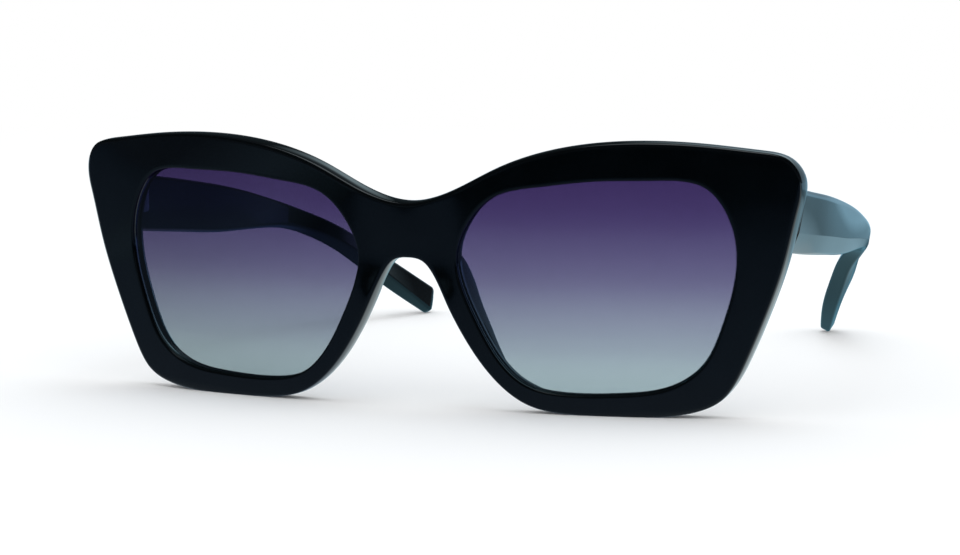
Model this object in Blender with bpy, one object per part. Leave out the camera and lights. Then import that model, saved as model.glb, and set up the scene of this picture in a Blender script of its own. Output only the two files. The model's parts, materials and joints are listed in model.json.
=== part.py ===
"""Cat eye sunglasses with folding temples, modelled as separate pieces.

Lengths in this file are millimetres, and go to metres when a mesh is made.  The
pieces are modelled in the front's own frame: X to the wearer's left, Y towards
the ears, Z up, and Z = 0 at the lowest point of the rims.  The empty "stand" then
tips the whole object onto its rims and temple tips and puts the middle of its
footprint at the origin.  "left" and "right" in the names are as seen from in front,
so the right pieces are at +X.
"""

from math import asin, atan, cos, hypot, pi, radians, sin

import bmesh
import bpy
import numpy as np
from mathutils import Matrix, Vector

MM = 0.001
CUT_OVER = 1.2           # how far a cutter stands out of what it cuts
EASED = 1 - cos(pi / 4)  # where a rounded corner's middle point lies, in radii
SIDES = (("left", -1), ("right", 1))

# Front
FACE_RADIUS = 237.0      # horizontal curve of the face
FRONT_THICK = 4.6
EDGE_ROUND = 0.7         # rounding of the outer edge in front
FLARE = 1.4              # how much smaller the face is than the back at the outer sides
FLARE_FROM, FLARE_TO = 44.0, 64.0   # where, going out, the flare starts and is full
BACK_ROUND = 0.5         # and behind
OPENING_ROUND = 0.4      # rounding of the lens opening's edge
OUTLINE_STEPS = 156
OPENING_STEPS = 56
# Right half of the outline, from the top of the bridge round to its underside (X, Z)
OUTLINE = (
    (0, 39.45), (8, 41.25), (17.9, 46.05), (30, 49.8), (43, 51.1), (56, 50.55), (66.6, 49.2),
    (71.95, 47.6), (74.4, 43.95), (73.8, 38.2), (71.55, 28.85), (68.3, 19.3), (64.75, 10.65),
    (60.2, 3.55), (52.6, 0.45), (43, -0.35), (32, 0.0), (23.3, 1.6), (17.05, 6.1),
    (11.75, 13.05), (7.9, 20.15), (4.95, 26.05), (2.75, 28.45), (0, 28.95),
)
# Right lens opening (X, Z)
OPENING = (
    (56.75, 42.5), (59.7, 38.9), (61.75, 32.5), (61.4, 24.5), (59.2, 16.6), (55.8, 9.6),
    (50.0, 5.5), (41.0, 4.0), (30.0, 3.9), (22.8, 5.6), (17.4, 10.7), (13.65, 17.3),
    (10.8, 24.1), (10.0, 29.6), (12.3, 35.7), (17.2, 40.7), (26.0, 42.85), (36.0, 43.95),
    (47.0, 44.15),
)

# Lenses and their groove
LENS_FRONT = 0.8         # depth of the lens behind the face
LENS_THICK = 1.8
LENS_GAP = 0.12
GROOVE_DEEP = 0.9
LENS_LIP = 0.5           # how far the lens's edge reaches into the groove
BEVEL_DEEP = 1.85        # of the bevel behind each opening
BEVEL_WIDE = 1.3         # its width, away from the nose
OPENING_BACK = 0.25      # and its width beside the nose pads
BEVEL_FROM, BEVEL_TO = 22.0, 34.0   # where, going out, it widens

# Nose pads, on the back of each rim
PAD_GAP = 0.12
PAD_RINGS = 16
PAD_CREASE = 60          # degrees from which an edge of a pad stays sharp
# From its top down: middle of the pad's foot (X, Z), half its width, and its reach
PAD_PATH = (
    (6.9, 30.2, 0.9, 0.7), (7.5, 28.4, 1.4, 3.0), (8.2, 26.0, 1.6, 4.9), (9.3, 22.4, 1.6, 6.1),
    (10.3, 19.9, 1.6, 5.6), (11.7, 17.0, 1.6, 4.7), (13.4, 14.0, 1.55, 3.6),
    (15.0, 11.4, 1.4, 2.4), (16.5, 9.3, 1.2, 1.4), (18.0, 7.6, 0.9, 0.5),
)
# Section of a pad, from its nose side to its lens side, in half widths and reaches
PAD_SECTION = ((-1.0, 0.0), (-0.9, 0.2), (-0.3, 0.75), (0.15, 0.96), (0.55, 1.0),
               (0.9, 0.88), (1.0, 0.6), (1.0, 0.0))

# Temples.  Each row: middle of the side view (Y, Z), height, outer face (X),
# thickness, lean of the section towards the head in degrees, and draft, which is
# what the outer face loses from its top to the facet line
TEMPLE = (
    (15.6, 35.85, 11.9, 73.0, 3.3, 0, 1.5), (24, 34.25, 11.9, 72.95, 3.55, 0, 1.35),
    (36, 32.1, 11.75, 72.8, 3.9, 0, 0.9), (48, 29.97, 11.3, 72.2, 3.7, 0, 0.45),
    (60, 27.75, 10.65, 71.5, 3.6, 0, 0.1), (72, 25.62, 9.1, 70.9, 3.5, 0, 0),
    (83, 23.47, 7.1, 70.2, 3.4, 1, 0), (92, 21.32, 5.55, 69.3, 3.4, 3, 0),
    (100, 18.3, 4.85, 67.4, 3.5, 8, 0), (108, 13.6, 5.0, 63.7, 3.8, 16, 0),
    (117, 7.2, 5.6, 60.1, 4.1, 20, 0), (126, 1.2, 6.2, 56.5, 4.0, 14, 0),
    (139.4, -6.75, 6.8, 51.6, 2.9, 3, 0),
)
TEMPLE_STATIONS = 27
TEMPLE_GAP = 0.15        # between the temple's end and the front
TEMPLE_ROUND = 0.7
TOP_ROUND = 1.0          # rounding of the top edge on the outer side
FACET_LINE = -0.17       # where the lower facet starts, in heights above the middle
FACET_DROP = 0.12        # what the facet takes off the thickness, in heights
UNDER_SLANT = 0.6        # how much higher the underside is on the head's side
TIP_ROUND = 1.8          # rounding of the corners of the temple's tip
TIP_SIDES = 0.6          # how much of it the inner and outer faces get
TIP_CORE = 0.4           # half the thickness that the tip's end keeps
FLAT_LEAST = 0.1         # narrowest flat between two rounded corners
FACET_LEAST = 0.3        # lowest height of the lower facet
TEMPLE_CREASE = 22       # degrees from which an edge of the temple stays sharp
WIRE_RADIUS = 0.6
WIRE_CHANNEL = 0.7
WIRE_SIDES = 8
WIRE_STATIONS = (1, 23)

# Hinges
HINGE_X = 67.55
HINGE_Z = 36.2
SEAT = 2.0               # from the pivot's axis to the faces that carry the leaves
LEAF_NEAR = 1.05         # from the axis to the faces of a leaf's plate
LEAF_FAR = 1.80
LEAF_CORNER = 0.7
LEAF_SHORT = 0.1         # how much shorter than the knuckles a plate is at each end
KNUCKLE_RADIUS = 1.3
KNUCKLE_HEIGHT = 1.6
KNUCKLE_GAP = 0.1
KNUCKLES = 5
KNUCKLE_SIDES = 12
WEB_NEAR = 0.5           # the web that ties a knuckle to its plate
WEB_SHORT = 0.06         # how far it stays below the plate's seat
WEB_INTO = 0.3           # how far it runs into the plate
SCREW_SIDES = 16
SCREW_HEAD = 1.2
SCREW_HEAD_HEIGHT = 0.5
SCREW_CHAMFER = 0.2
SCREW_SHORT = 0.05       # how far the screw's end stays inside the lowest knuckle
SCREW_POINT = 0.15       # chamfer of its end
SCREW_SLOT = 0.35
SCREW_SLOT_DEEP = 0.25
HEAD_GAP = 0.04          # under the heads of the screws and rivets
BORE_RADIUS = 0.75
PIVOT_RADIUS = 0.7
PLATE_START = 1.45
FRONT_PLATE_END = 4.9
TEMPLE_PLATE_END = 11.0
RIVET_SPREAD = 2.9       # of the two rivets above and below the middle of a leaf
RIVET_RADIUS = 0.45
RIVET_SIDES = 10
RIVET_HOLE = 0.5
RIVET_HEAD = 0.75
RIVET_DOME = 0.38
RIVET_CENTRE = 0.2       # how far towards the plate's end the rivets are from its middle
RIVET_DEEP = 1.5         # how far a rivet goes into the acetate
RIVET_END_GAP = 0.1      # and how much deeper its hole is

# Standing pose
STAND_TILT = radians(3.7)
REST_FLAT = 0.26         # height that the resting points are worn flat by

BLACK = ((0.012, 0.014, 0.017, 1), 0.08, 0.0)
SMOKE = ((0.16, 0.15, 0.22, 1), 0.03, 0.0)
STEEL = ((0.60, 0.60, 0.58, 1), 0.28, 1.0)
BRIGHT = ((0.78, 0.78, 0.76, 1), 0.14, 1.0)


def spline(points, count, closed=False):
    """Cubic spline through points of any dimension, read at count places."""
    knots = np.array(points, float)
    if closed:
        knots = np.vstack([knots, knots[:1]])
    place = np.r_[0, np.cumsum(np.linalg.norm(np.diff(knots[:, :2], axis=0), axis=1))]
    gap = np.diff(place)
    slope = np.diff(knots, axis=0) / gap[:, None]
    size = len(gap) if closed else len(knots)
    left = np.zeros((size, size))
    right = np.zeros((size, knots.shape[1]))
    for i in range(size):
        if closed or 0 < i < size - 1:
            before, after = gap[i - 1], gap[i % len(gap)]
            left[i, (i - 1) % size] += before
            left[i, i] += 2 * (before + after)
            left[i, (i + 1) % size] += after
            right[i] = 6 * (slope[i % len(gap)] - slope[i - 1])
        else:
            left[i, i] = 1
    bend = np.linalg.solve(left, right)
    if closed:
        bend = np.vstack([bend, bend[:1]])
    read = np.linspace(0, place[-1], count, endpoint=not closed)
    span = np.clip(np.searchsorted(place, read, side="right") - 1, 0, len(gap) - 1)
    width = gap[span][:, None]
    a = (place[span + 1] - read)[:, None] / width
    b = 1 - a
    curve = a * knots[span] + b * knots[span + 1]
    return curve + ((a**3 - a) * bend[span] + (b**3 - b) * bend[span + 1]) * width**2 / 6


def offset(loop, amount):
    """A closed loop moved sideways: a positive amount grows a loop that runs clockwise."""
    along = np.roll(loop, -1, axis=0) - np.roll(loop, 1, axis=0)
    along /= np.linalg.norm(along, axis=1)[:, None]
    return loop + np.c_[amount * -along[:, 1], amount * along[:, 0]]


def whole_outline():
    """The front's outline, clockwise as seen from in front."""
    mirrored = [(-x, z) for x, z in OUTLINE[-2:0:-1]]
    return spline(list(OUTLINE) + mirrored, OUTLINE_STEPS, closed=True)


def opening_loop():
    """The right lens opening, clockwise as seen from in front."""
    return spline(OPENING, OPENING_STEPS, closed=True)


def on_face(x, z, depth):
    """The point at a depth behind the curved face."""
    turn = atan(x / FACE_RADIUS)
    return Vector((x - depth * sin(turn), x * x / (2 * FACE_RADIUS) + depth * cos(turn), z))


def above_table(point):
    """Height over the table of a point in the front's frame, less a constant."""
    return point.z * cos(STAND_TILT) + point.y * sin(STAND_TILT)


def worn_flat(point, table):
    """The point, lifted onto the table's plane if it lies below it."""
    below = max(0.0, table - above_table(point))
    return point + below * Vector((0, sin(STAND_TILT), cos(STAND_TILT)))


def table_height():
    """Where the table's plane lies: just above the lowest points of the rims."""
    lowest = min(above_table(on_face(x, z, EDGE_ROUND)) for x, z in whole_outline())
    return lowest + REST_FLAT


def make_object(name, mesh_builder, finish, smooth_angle=35):
    """A named object from a bmesh in millimetres, with outward normals."""
    bmesh.ops.recalc_face_normals(mesh_builder, faces=mesh_builder.faces[:])
    if mesh_builder.calc_volume(signed=True) < 0:
        bmesh.ops.reverse_faces(mesh_builder, faces=mesh_builder.faces[:])
    bmesh.ops.scale(mesh_builder, vec=(MM, MM, MM), verts=mesh_builder.verts[:])
    mesh = bpy.data.meshes.new(name)
    mesh_builder.to_mesh(mesh)
    mesh_builder.free()
    mesh.shade_smooth()
    mesh.set_sharp_from_angle(angle=radians(smooth_angle))
    made = bpy.data.objects.new(name, mesh)
    bpy.context.collection.objects.link(made)
    if finish:
        mesh.materials.append(finish)
    return made


def principled(name, finish):
    """A Principled material with a colour, a roughness and a metallic value."""
    colour, roughness, metallic = finish
    material = bpy.data.materials.new(name)
    material.use_nodes = True
    shader = material.node_tree.nodes["Principled BSDF"]
    shader.inputs["Base Color"].default_value = colour
    shader.inputs["Roughness"].default_value = roughness
    shader.inputs["Metallic"].default_value = metallic
    return material


def add_ring(builder, points):
    return [builder.verts.new(point) for point in points]


def join_rings(builder, rings):
    """Side faces between each closed ring of vertices and the next."""
    for ring, following in zip(rings, rings[1:]):
        for i in range(len(ring)):
            j = (i + 1) % len(ring)
            builder.faces.new((ring[i], ring[j], following[j], following[i]))


def fill_between(builder, *rings):
    """A triangulated face bounded by one outer ring and any inner rings."""
    edges = [builder.edges.get((ring[i - 1], ring[i])) for ring in rings for i in range(len(ring))]
    bmesh.ops.triangle_fill(builder, use_beauty=True, use_dissolve=False, edges=edges)


def loft(builder, rings):
    """A closed solid through rings of points, with flat ends."""
    made = [add_ring(builder, ring) for ring in rings]
    join_rings(builder, made)
    builder.faces.new(made[0])
    builder.faces.new(made[-1])


def cylinder(builder, centre, axis, radius, start, end, sides):
    """A cylinder around an axis, from one distance along it to another."""
    across = axis.orthogonal().normalized()
    other = axis.cross(across)
    turn = [2 * pi * i / sides for i in range(sides)]
    circle = [radius * (cos(t) * across + sin(t) * other) for t in turn]
    loft(builder, [[centre + axis * d + p for p in circle] for d in (start, end)])


def turned(builder, centre, axis, profile, sides):
    """A solid of revolution from (distance along the axis, radius) pairs."""
    across = axis.orthogonal().normalized()
    other = axis.cross(across)
    rings = []
    turn = [2 * pi * i / sides for i in range(sides)]
    for distance, radius in profile:
        middle = centre + axis * distance
        rings.append([middle + radius * (cos(t) * across + sin(t) * other) for t in turn])
    loft(builder, rings)


def cut(target, tool_name, builder, operation="DIFFERENCE"):
    """A Boolean with a hidden tool made from a bmesh."""
    tool = make_object(tool_name, builder, None)
    tool.hide_render = True
    tool.display_type = "WIRE"
    boolean = target.modifiers.new(tool_name, "BOOLEAN")
    boolean.operation = operation
    boolean.object = tool
    return tool


class Hinge:
    """The frame of one hinge: its pivot, and the seats of its two leaves."""

    def __init__(self, side):
        self.side = side
        seat_depth = FRONT_THICK + SEAT
        foot = HINGE_X + seat_depth * sin(atan(HINGE_X / FACE_RADIUS))
        self.turn = atan(foot / FACE_RADIUS)
        self.pivot = on_face(foot, HINGE_Z, seat_depth)
        inner = [row[3] - row[4] for row in TEMPLE]
        splay = atan((inner[0] - inner[2]) / (TEMPLE[2][0] - TEMPLE[0][0]))
        inward, back = Vector((-1, 0, 0)), Vector((0, 1, 0))
        # along each leaf from the pivot, and from the pivot to the leaf's seat
        self.front = (inward * cos(self.turn) - back * sin(self.turn),
                      -inward * sin(self.turn) - back * cos(self.turn))
        self.temple = (back * cos(splay) + inward * sin(splay),
                       -inward * cos(splay) + back * sin(splay))

    def point(self, leaf, along, seat, height):
        """A point of a leaf, on the hinge's own side."""
        p = self.pivot + leaf[0] * along + leaf[1] * seat + Vector((0, 0, height))
        return Vector((p.x * self.side, p.y, p.z))

    def direction(self, vector):
        return Vector((vector.x * self.side, vector.y, vector.z))

    def rivets(self, leaf, plate_end):
        """The places of a leaf's two rivets, on the acetate's surface."""
        along = (KNUCKLE_RADIUS + plate_end) / 2 + RIVET_CENTRE
        return [self.point(leaf, along, SEAT, height) for height in (-RIVET_SPREAD, RIVET_SPREAD)]


def rivet_holes(builder, hinge, leaf, plate_end):
    for place in hinge.rivets(leaf, plate_end):
        cylinder(builder, place, hinge.direction(leaf[1]), RIVET_HOLE, -CUT_OVER,
                 RIVET_DEEP + RIVET_END_GAP, RIVET_SIDES)


def ease(x, start, end):
    """A smooth rise from 0 where |x| is at start to 1 where it is at end."""
    t = np.clip((np.abs(x) - start) / (end - start), 0, 1)
    return t * t * (3 - 2 * t)


def flare(loop):
    """What the face's outline loses against the back's, on edges that face sideways."""
    along = np.roll(loop, -1, axis=0) - np.roll(loop, 1, axis=0)
    sideways = along[:, 1] ** 2 / np.sum(along**2, axis=1)
    return FLARE * sideways * ease(loop[:, 0], FLARE_FROM, FLARE_TO)


def make_front(black, hinges):
    builder = bmesh.new()
    outline = whole_outline()
    table = table_height()
    back = FRONT_THICK
    wall_end = back - BACK_ROUND
    outer_profile = ((0, -EDGE_ROUND), (EDGE_ROUND * EASED, -EDGE_ROUND * EASED), (EDGE_ROUND, 0),
                     (wall_end, 0), (back - BACK_ROUND * EASED, -BACK_ROUND * EASED),
                     (back, -BACK_ROUND))
    rings = []
    for depth, grow in outer_profile:
        slant = flare(outline) * (1 - min(depth / wall_end, 1))
        points = [on_face(x, z, depth) for x, z in offset(outline, grow - slant)]
        rings.append(add_ring(builder, [worn_flat(p, table) for p in points]))
    join_rings(builder, rings)
    groove_mid = LENS_FRONT + LENS_THICK / 2
    small = OPENING_ROUND * EASED
    opening = opening_loop()
    bevel = OPENING_BACK + (BEVEL_WIDE - OPENING_BACK) * ease(opening[:, 0], BEVEL_FROM, BEVEL_TO)
    inner_profile = ((0, OPENING_ROUND), (small, small), (OPENING_ROUND, 0),
                     (groove_mid - GROOVE_DEEP, 0), (groove_mid, GROOVE_DEEP),
                     (groove_mid + GROOVE_DEEP, 0), (back - BEVEL_DEEP, 0), (back, bevel))
    fronts, backs = [rings[0]], [rings[-1]]
    for _, side in SIDES:
        holes = []
        for depth, grow in inner_profile:
            points = [on_face(x, z, depth) for x, z in offset(opening, grow)]
            holes.append(add_ring(builder, [Vector((p.x * side, p.y, p.z)) for p in points]))
        join_rings(builder, holes)
        fronts.append(holes[0])
        backs.append(holes[-1])
    fill_between(builder, *fronts)
    fill_between(builder, *backs)
    front = make_object("front_frame", builder, black)
    holes = bmesh.new()
    for hinge in hinges:
        rivet_holes(holes, hinge, hinge.front, FRONT_PLATE_END)
    return front, cut(front, "front_rivet_holes", holes)


def make_lens(name, side, smoke):
    builder = bmesh.new()
    middle, back = LENS_FRONT + LENS_THICK / 2, LENS_FRONT + LENS_THICK
    rings = []
    for depth, grow in ((LENS_FRONT, -LENS_GAP), (middle - LENS_LIP, -LENS_GAP), (middle, LENS_LIP),
                        (middle + LENS_LIP, -LENS_GAP), (back, -LENS_GAP)):
        points = [on_face(x, z, depth) for x, z in offset(opening_loop(), grow)]
        rings.append(add_ring(builder, [Vector((p.x * side, p.y, p.z)) for p in points]))
    join_rings(builder, rings)
    fill_between(builder, rings[0])
    fill_between(builder, rings[-1])
    return make_object(name, builder, smoke)


def make_nose_pad(name, side, black):
    """A bonded pad: a low ridge along the rim that slopes away from the nose."""
    builder = bmesh.new()
    path = spline(PAD_PATH, PAD_RINGS)
    along = np.gradient(path[:, :2], axis=0)
    rings = []
    foot = FRONT_THICK + PAD_GAP
    for (x, z, half, reach), step in zip(path, along):
        step = step / hypot(*step)
        # across the rim, from the nose to the lens
        across = np.array([-step[1], step[0]])
        ring = []
        for width, height in PAD_SECTION:
            shift = across * half * width
            ring.append(on_face(x + shift[0], z + shift[1], foot + reach * height))
        rings.append([Vector((p.x * side, p.y, p.z)) for p in ring])
    loft(builder, rings)
    return make_object(name, builder, black, smooth_angle=PAD_CREASE)


def temple_stations():
    """Rows of the temple's table read along it, with the rounded tip added."""
    rows = spline(TEMPLE, TEMPLE_STATIONS)
    path = rows[:, :2]
    length = np.r_[0, np.cumsum(np.linalg.norm(np.diff(path, axis=0), axis=1))]
    last = length[-1]
    rounded = [last - TIP_ROUND * (1 - sin(t)) for t in (pi / 6, pi / 3, pi / 2)]
    read = np.r_[length[length < last - TIP_ROUND], last - TIP_ROUND, rounded]
    rows = np.column_stack([np.interp(read, length, rows[:, i]) for i in range(rows.shape[1])])
    ends = [TIP_ROUND * (1 - cos(t)) for t in (pi / 6, pi / 3, pi / 2)]
    short = np.r_[np.zeros(len(read) - 3), ends]
    return rows, short


def temple_section(height, thick, draft, short):
    """Points (height above the middle, out from the inner face) round a section."""
    top, low = height / 2 - short, short - height / 2
    inner_low = low + min(UNDER_SLANT, 0.1 * height)
    near = min(short, thick / 2 - TIP_CORE) * TIP_SIDES
    far = thick - near
    r = min(TEMPLE_ROUND, thick / 2 - near - FLAT_LEAST)
    wide = min(TOP_ROUND, far - near - r - FLAT_LEAST)
    line = max(FACET_LINE * height, low + FACET_LEAST + r)
    foot = far - draft - FACET_DROP * height
    s = min(r, (foot - near - FLAT_LEAST) / 2)
    e = EASED
    return ((inner_low + s, near), (0, near), (top - r, near), (top - e * r, near + e * r),
            (top, near + r), (top, far - wide), (top - e * wide, far - e * wide),
            (top - wide, far), (line, far - draft), (low + s, foot), (low + e * s, foot - e * s),
            (low, foot - s), (inner_low, near + s), (inner_low + e * s, near + e * s))


def temple_frames():
    """For each station: middle of the inner face, up and outward directions, and sizes."""
    rows, short = temple_stations()
    along = np.gradient(rows[:, :2], axis=0)
    swing = np.gradient(rows[:, 3]) / np.linalg.norm(along, axis=1)
    frames = []
    for row, step, sway, cutback in zip(rows, along, swing, short):
        y, z, height, outer, thick, lean, draft = row
        step = step / hypot(*step)
        ahead = Vector((sway, step[0], step[1])).normalized()
        up = Vector((0, -step[1], step[0]))
        out = up.cross(ahead).normalized()
        if out.x < 0:
            out = -out
        lean = radians(lean)
        tipped = up * cos(lean) + out * sin(lean)
        outward = out * cos(lean) - up * sin(lean)
        centre = Vector((outer, y, z)) - outward * thick
        frames.append((centre, tipped, outward, height, thick, draft, cutback))
    return frames


def end_plane(point):
    """The point, moved along Y onto the temple's front end face."""
    edge = on_face(TEMPLE[0][3], 0, FRONT_THICK)
    turn = atan(TEMPLE[0][3] / FACE_RADIUS)
    y = edge.y + (point.x - edge.x) * sin(turn) / cos(turn) + TEMPLE_GAP
    return Vector((point.x, y, point.z))


def wire_ring(frame, radius):
    centre, up, out, _, thick, draft, _ = frame
    turn = [2 * pi * (i + 0.5) / WIRE_SIDES for i in range(WIRE_SIDES)]
    middle = centre + out * (thick - draft) * 0.5
    return [middle + radius * (cos(t) * up + sin(t) * out) for t in turn]


def make_temple(name, side, black, hinge):
    builder = bmesh.new()
    table = table_height()
    frames = temple_frames()

    def placed(points):
        return [Vector((p.x * side, p.y, p.z)) for p in (worn_flat(q, table) for q in points)]

    skin = []
    for i, (centre, up, out, *sizes) in enumerate(frames):
        ring = [centre + up * h + out * d for h, d in temple_section(*sizes)]
        skin.append([end_plane(p) for p in ring] if i == 0 else ring)
    skin = [add_ring(builder, placed(ring)) for ring in skin]
    join_rings(builder, skin)
    builder.faces.new(skin[-1])
    last = WIRE_STATIONS[1] + 1
    channel = [wire_ring(frame, WIRE_CHANNEL) for frame in frames[:last]]
    channel[0] = [end_plane(p) for p in channel[0]]
    channel = [add_ring(builder, placed(ring)) for ring in channel]
    join_rings(builder, channel)
    builder.faces.new(channel[-1])
    fill_between(builder, skin[0], channel[0])
    temple = make_object(name, builder, black, smooth_angle=TEMPLE_CREASE)
    holes = bmesh.new()
    rivet_holes(holes, hinge, hinge.temple, TEMPLE_PLATE_END)
    return temple, cut(temple, name + "_rivet_holes", holes)


def make_core_wire(name, side, steel):
    builder = bmesh.new()
    frames = temple_frames()[WIRE_STATIONS[0]:WIRE_STATIONS[1]]
    rings = [[Vector((p.x * side, p.y, p.z)) for p in wire_ring(frame, WIRE_RADIUS)]
             for frame in frames]
    loft(builder, rings)
    return make_object(name, builder, steel)


def knuckle_span(index):
    """The heights of a knuckle's ends, from the middle of the hinge."""
    pitch = KNUCKLE_HEIGHT + KNUCKLE_GAP
    middle = (index - (KNUCKLES - 1) / 2) * pitch
    return middle - KNUCKLE_HEIGHT / 2, middle + KNUCKLE_HEIGHT / 2


def knuckle_profile():
    """A knuckle and its web, as (along the leaf, towards the seat) pairs."""
    meets = asin(WEB_NEAR / KNUCKLE_RADIUS)
    turn = [meets - (1.5 * pi + meets) * i / KNUCKLE_SIDES for i in range(KNUCKLE_SIDES + 1)]
    arc = [(KNUCKLE_RADIUS * cos(t), KNUCKLE_RADIUS * sin(t)) for t in turn]
    far = LEAF_FAR - WEB_SHORT
    end = PLATE_START + WEB_INTO
    return arc + [(0, far), (end, far), (end, WEB_NEAR)]


def make_leaf(name, hinge, leaf, plate_end, indices, steel):
    """A hinge leaf: a plate on its seat, with knuckles round the pivot."""
    low = knuckle_span(0)[0] + LEAF_SHORT
    corner = LEAF_CORNER
    half = [(PLATE_START, low), (plate_end - corner, low)]
    half += [(plate_end - corner + corner * sin(t), low + corner - corner * cos(t))
             for t in (pi / 4, pi / 2)]
    shape = half + [(along, -height) for along, height in reversed(half)]
    builder = bmesh.new()
    loft(builder, [[hinge.point(leaf, along, seat, height) for along, height in shape]
                   for seat in (LEAF_NEAR, LEAF_FAR)])
    plate = make_object(name, builder, steel)
    knuckles = bmesh.new()
    for index in indices:
        loft(knuckles, [[hinge.point(leaf, along, seat, height) for along, seat in knuckle_profile()]
                        for height in knuckle_span(index)])
    union = cut(plate, name + "_knuckles", knuckles, "UNION")
    bores = bmesh.new()
    up = Vector((0, 0, 1))
    cylinder(bores, hinge.point(leaf, 0, 0, 0), up, BORE_RADIUS, low - CUT_OVER,
             CUT_OVER - low, SCREW_SIDES)
    rivet_holes(bores, hinge, leaf, plate_end)
    return [plate, union, cut(plate, name + "_bores", bores)]


def make_pivot_screw(name, hinge, bright):
    """A slotted screw through all the knuckles, its head on the top one."""
    bottom, _ = knuckle_span(0)
    _, top = knuckle_span(KNUCKLES - 1)
    seat = top + HEAD_GAP
    crown = seat + SCREW_HEAD_HEIGHT
    profile = ((bottom + SCREW_SHORT, PIVOT_RADIUS - SCREW_POINT),
               (bottom + SCREW_SHORT + SCREW_POINT, PIVOT_RADIUS),
               (seat, PIVOT_RADIUS), (seat, SCREW_HEAD), (crown - SCREW_CHAMFER, SCREW_HEAD),
               (crown, SCREW_HEAD - 1.5 * SCREW_CHAMFER))
    builder = bmesh.new()
    centre = hinge.point(hinge.front, 0, 0, 0)
    up = Vector((0, 0, 1))
    turned(builder, centre, up, profile, SCREW_SIDES)
    screw = make_object(name, builder, bright)
    slot = bmesh.new()
    half, reach = SCREW_SLOT / 2, 2 * SCREW_HEAD
    corners = ((-reach, -half), (reach, -half), (reach, half), (-reach, half))
    loft(slot, [[centre + Vector((x, y, height)) for x, y in corners]
                for height in (crown - SCREW_SLOT_DEEP, crown + CUT_OVER)])
    return [screw, cut(screw, name + "_slot", slot)]


def make_rivet(name, place, axis, bright):
    """A domed rivet through a leaf and into the acetate behind it."""
    head = SEAT - LEAF_NEAR + HEAD_GAP
    dome = [(-head - RIVET_DOME * cos(t), RIVET_HEAD * sin(t)) for t in (pi / 12, pi / 5, pi / 3, pi / 2)]
    profile = dome + [(-head, RIVET_RADIUS), (RIVET_DEEP, RIVET_RADIUS)]
    builder = bmesh.new()
    turned(builder, place, axis, profile, RIVET_SIDES)
    return make_object(name, builder, bright)


def attach(pieces, parent, origin):
    """Hang pieces on an empty, with their meshes measured from it."""
    for piece in pieces:
        piece.data.transform(Matrix.Translation(-origin * MM))
        piece.parent = parent


def make_empty(name, place, parent=None):
    empty = bpy.data.objects.new(name, None)
    empty.empty_display_size = 5 * MM
    empty.location = place * MM
    empty.parent = parent
    bpy.context.collection.objects.link(empty)
    return empty


def stand_up(stand):
    """Tip the object onto its resting points, with its footprint's middle at the origin."""
    stand.rotation_euler.x = STAND_TILT
    bpy.context.view_layer.update()
    solids = [o for o in bpy.data.objects if o.type == "MESH" and not o.hide_render]
    points = np.array([o.matrix_world @ v.co for o in solids for v in o.data.vertices])
    low, high = points.min(axis=0), points.max(axis=0)
    stand.location = Vector((-(low[0] + high[0]) / 2, -(low[1] + high[1]) / 2, -low[2]))


def main():
    for old in list(bpy.data.objects):
        bpy.data.objects.remove(old, do_unlink=True)
    black = principled("black_acetate", BLACK)
    smoke = principled("smoke_lens", SMOKE)
    steel = principled("hinge_steel", STEEL)
    bright = principled("bright_steel", BRIGHT)
    origin = Vector((0, 0, 0))
    stand = make_empty("stand", origin)
    hinges = {name: Hinge(side) for name, side in SIDES}
    attach(make_front(black, hinges.values()), stand, origin)
    for name, side in SIDES:
        hinge = hinges[name]
        still = [make_lens("lens_" + name, side, smoke),
                 make_nose_pad("nose_pad_" + name, side, black)]
        still += make_pivot_screw("hinge_screw_" + name, hinge, bright)
        moving = list(make_temple("temple_" + name, side, black, hinge))
        moving.append(make_core_wire("core_wire_" + name, side, steel))
        for kind, leaf, plate_end, indices, group in (
                ("front", hinge.front, FRONT_PLATE_END, (0, 2, 4), still),
                ("temple", hinge.temple, TEMPLE_PLATE_END, (1, 3), moving)):
            group += make_leaf(f"{kind}_hinge_leaf_{name}", hinge, leaf, plate_end, indices, steel)
            for place, end in zip(hinge.rivets(leaf, plate_end), ("lower", "upper")):
                rivet = f"{kind}_rivet_{end}_{name}"
                group.append(make_rivet(rivet, place, hinge.direction(leaf[1]), bright))
        attach(still, stand, origin)
        pivot = hinge.point(hinge.front, 0, 0, 0)
        attach(moving, make_empty("fold_axis_" + name, pivot, stand), pivot)
    stand_up(stand)


main()
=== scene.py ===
"""Cat eye sunglasses: the finished look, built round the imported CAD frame.

The front, lenses, nose pads and temples are built again here as fine, smooth meshes
from the same curves as the CAD, and the hinge hardware is the CAD's own with better
materials.
"""

import json
from math import atan, cos, hypot, pi, radians, sin

import bmesh
import bpy
import numpy as np
from mathutils import Matrix, Vector
from mathutils.geometry import delaunay_2d_cdt


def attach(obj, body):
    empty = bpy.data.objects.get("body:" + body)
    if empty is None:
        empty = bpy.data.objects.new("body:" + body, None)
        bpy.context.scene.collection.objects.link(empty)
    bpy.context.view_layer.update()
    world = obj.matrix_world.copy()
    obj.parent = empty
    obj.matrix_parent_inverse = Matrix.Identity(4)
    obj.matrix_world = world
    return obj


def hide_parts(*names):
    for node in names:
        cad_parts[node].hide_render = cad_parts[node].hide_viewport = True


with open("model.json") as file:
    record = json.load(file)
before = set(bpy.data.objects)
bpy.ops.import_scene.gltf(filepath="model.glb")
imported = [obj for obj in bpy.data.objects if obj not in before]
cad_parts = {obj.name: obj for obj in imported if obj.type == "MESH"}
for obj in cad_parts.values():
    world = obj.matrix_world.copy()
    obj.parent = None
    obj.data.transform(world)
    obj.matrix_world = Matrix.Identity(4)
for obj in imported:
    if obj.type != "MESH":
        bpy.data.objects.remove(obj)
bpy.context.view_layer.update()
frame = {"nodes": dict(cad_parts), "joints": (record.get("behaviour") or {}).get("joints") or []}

MM = 0.001
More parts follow.
